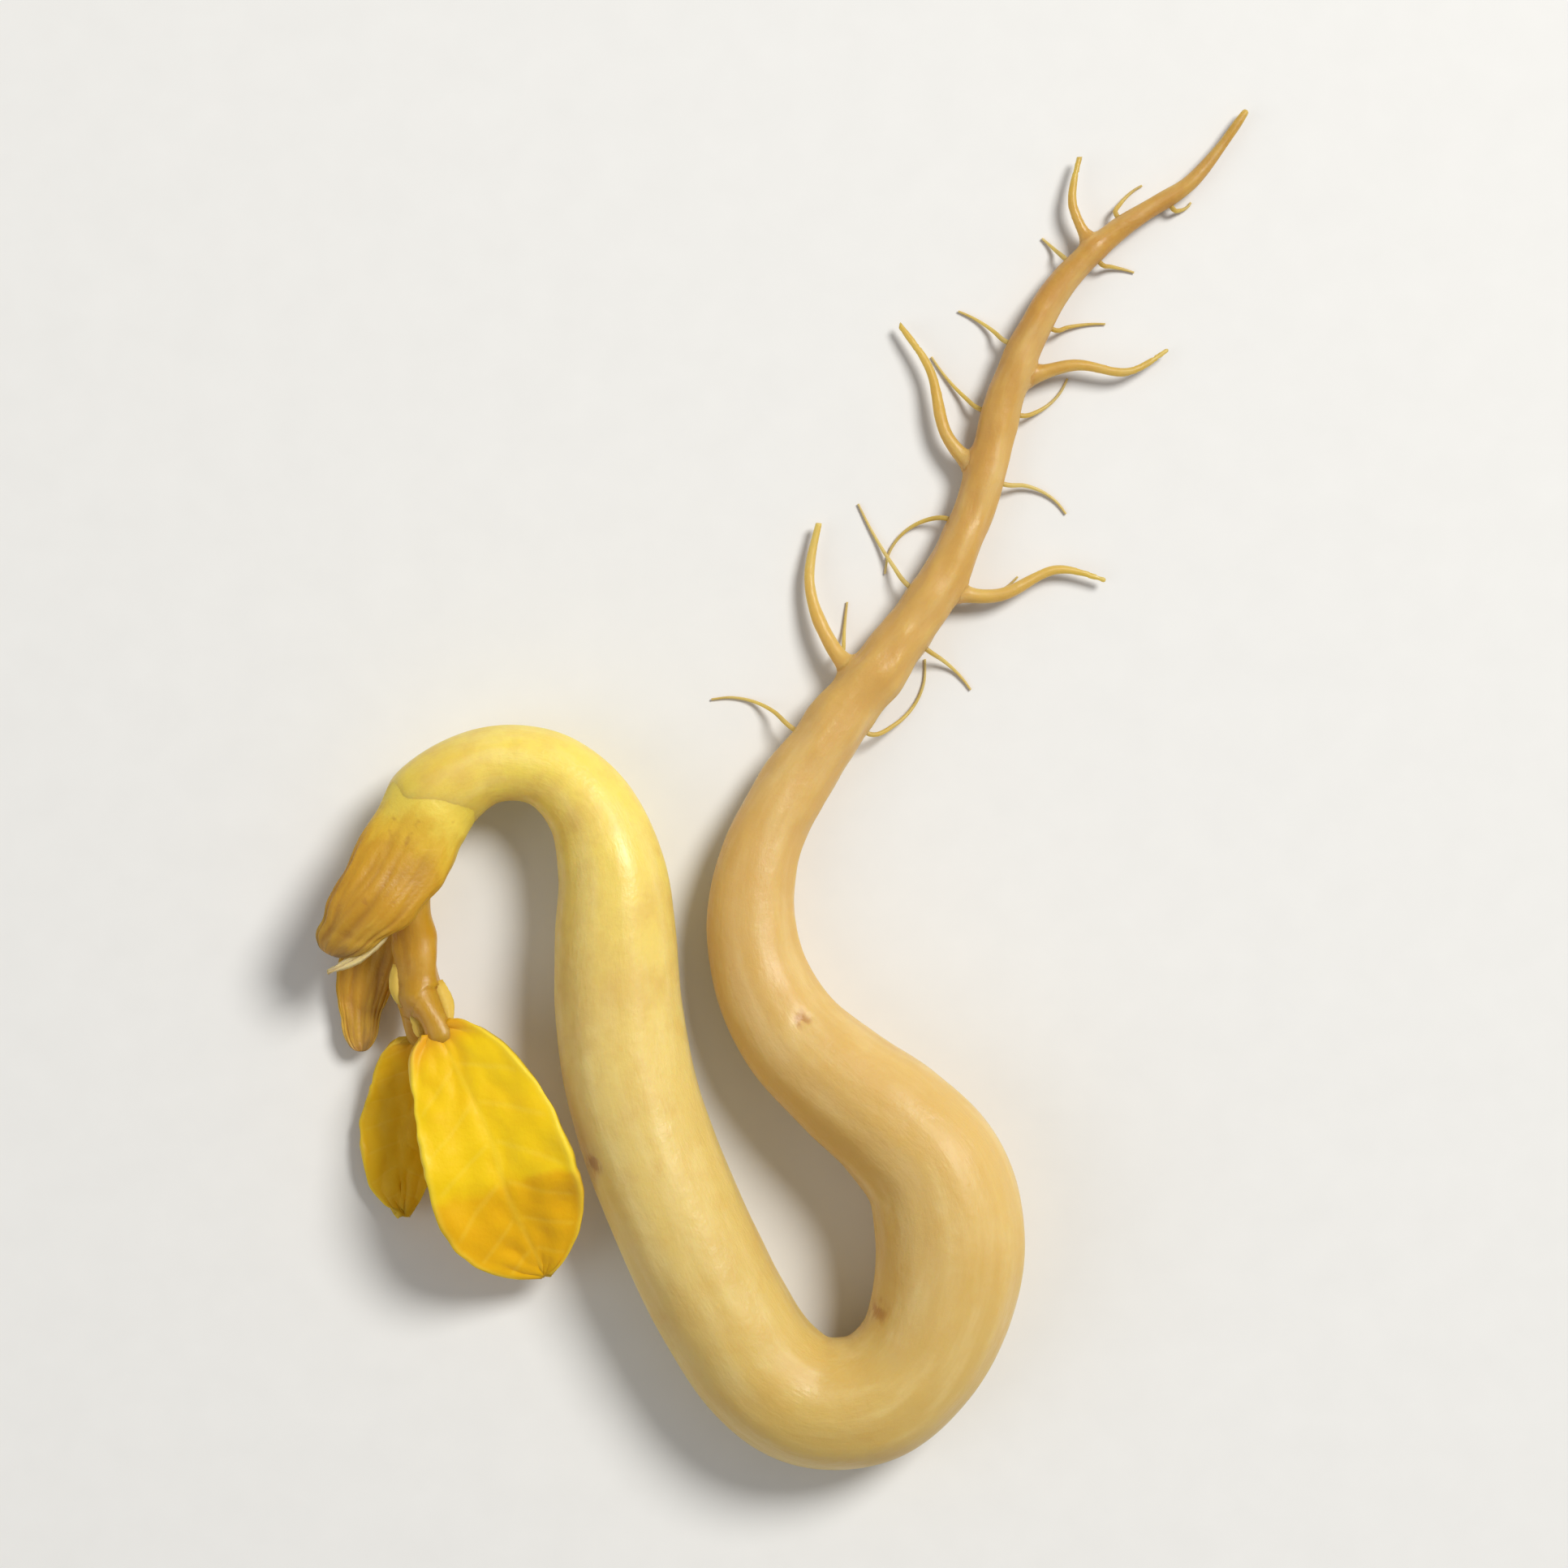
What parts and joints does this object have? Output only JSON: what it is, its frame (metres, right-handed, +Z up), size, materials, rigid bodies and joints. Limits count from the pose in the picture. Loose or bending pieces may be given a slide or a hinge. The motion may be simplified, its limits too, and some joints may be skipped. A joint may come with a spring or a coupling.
{
  "type": "mung bean sprout",
  "caption": "Single mung bean sprout lying on its side: white stem with a yellow hook and a curl, tapering root with side roots, withered seed halves and yellow first leaves.",
  "frame": {"origin": "on the surface that the sprout lies on, under the middle of its plan", "axes": "+Z up, away from the surface; +Y from the curl towards the root's tip, which is up in the picture; +X from the hook and leaves towards the root's tip"},
  "size_m": [0.0222, 0.0322, 0.0034],
  "materials": {
    "stem": "moist, translucent plant flesh, cream, yellower at the hook and tan at the root",
    "cotyledon": "withered, wrinkled, tan with a dark tip",
    "leaf": "soft satin, bright yellow, veined"
  },
  "bodies": {
    "root": {"stem_and_root": "stem", "cotyledon_upper": "cotyledon", "cotyledon_lower": "cotyledon", "leaf_upper": "leaf", "leaf_lower": "leaf"}
  },
  "joints": []
}
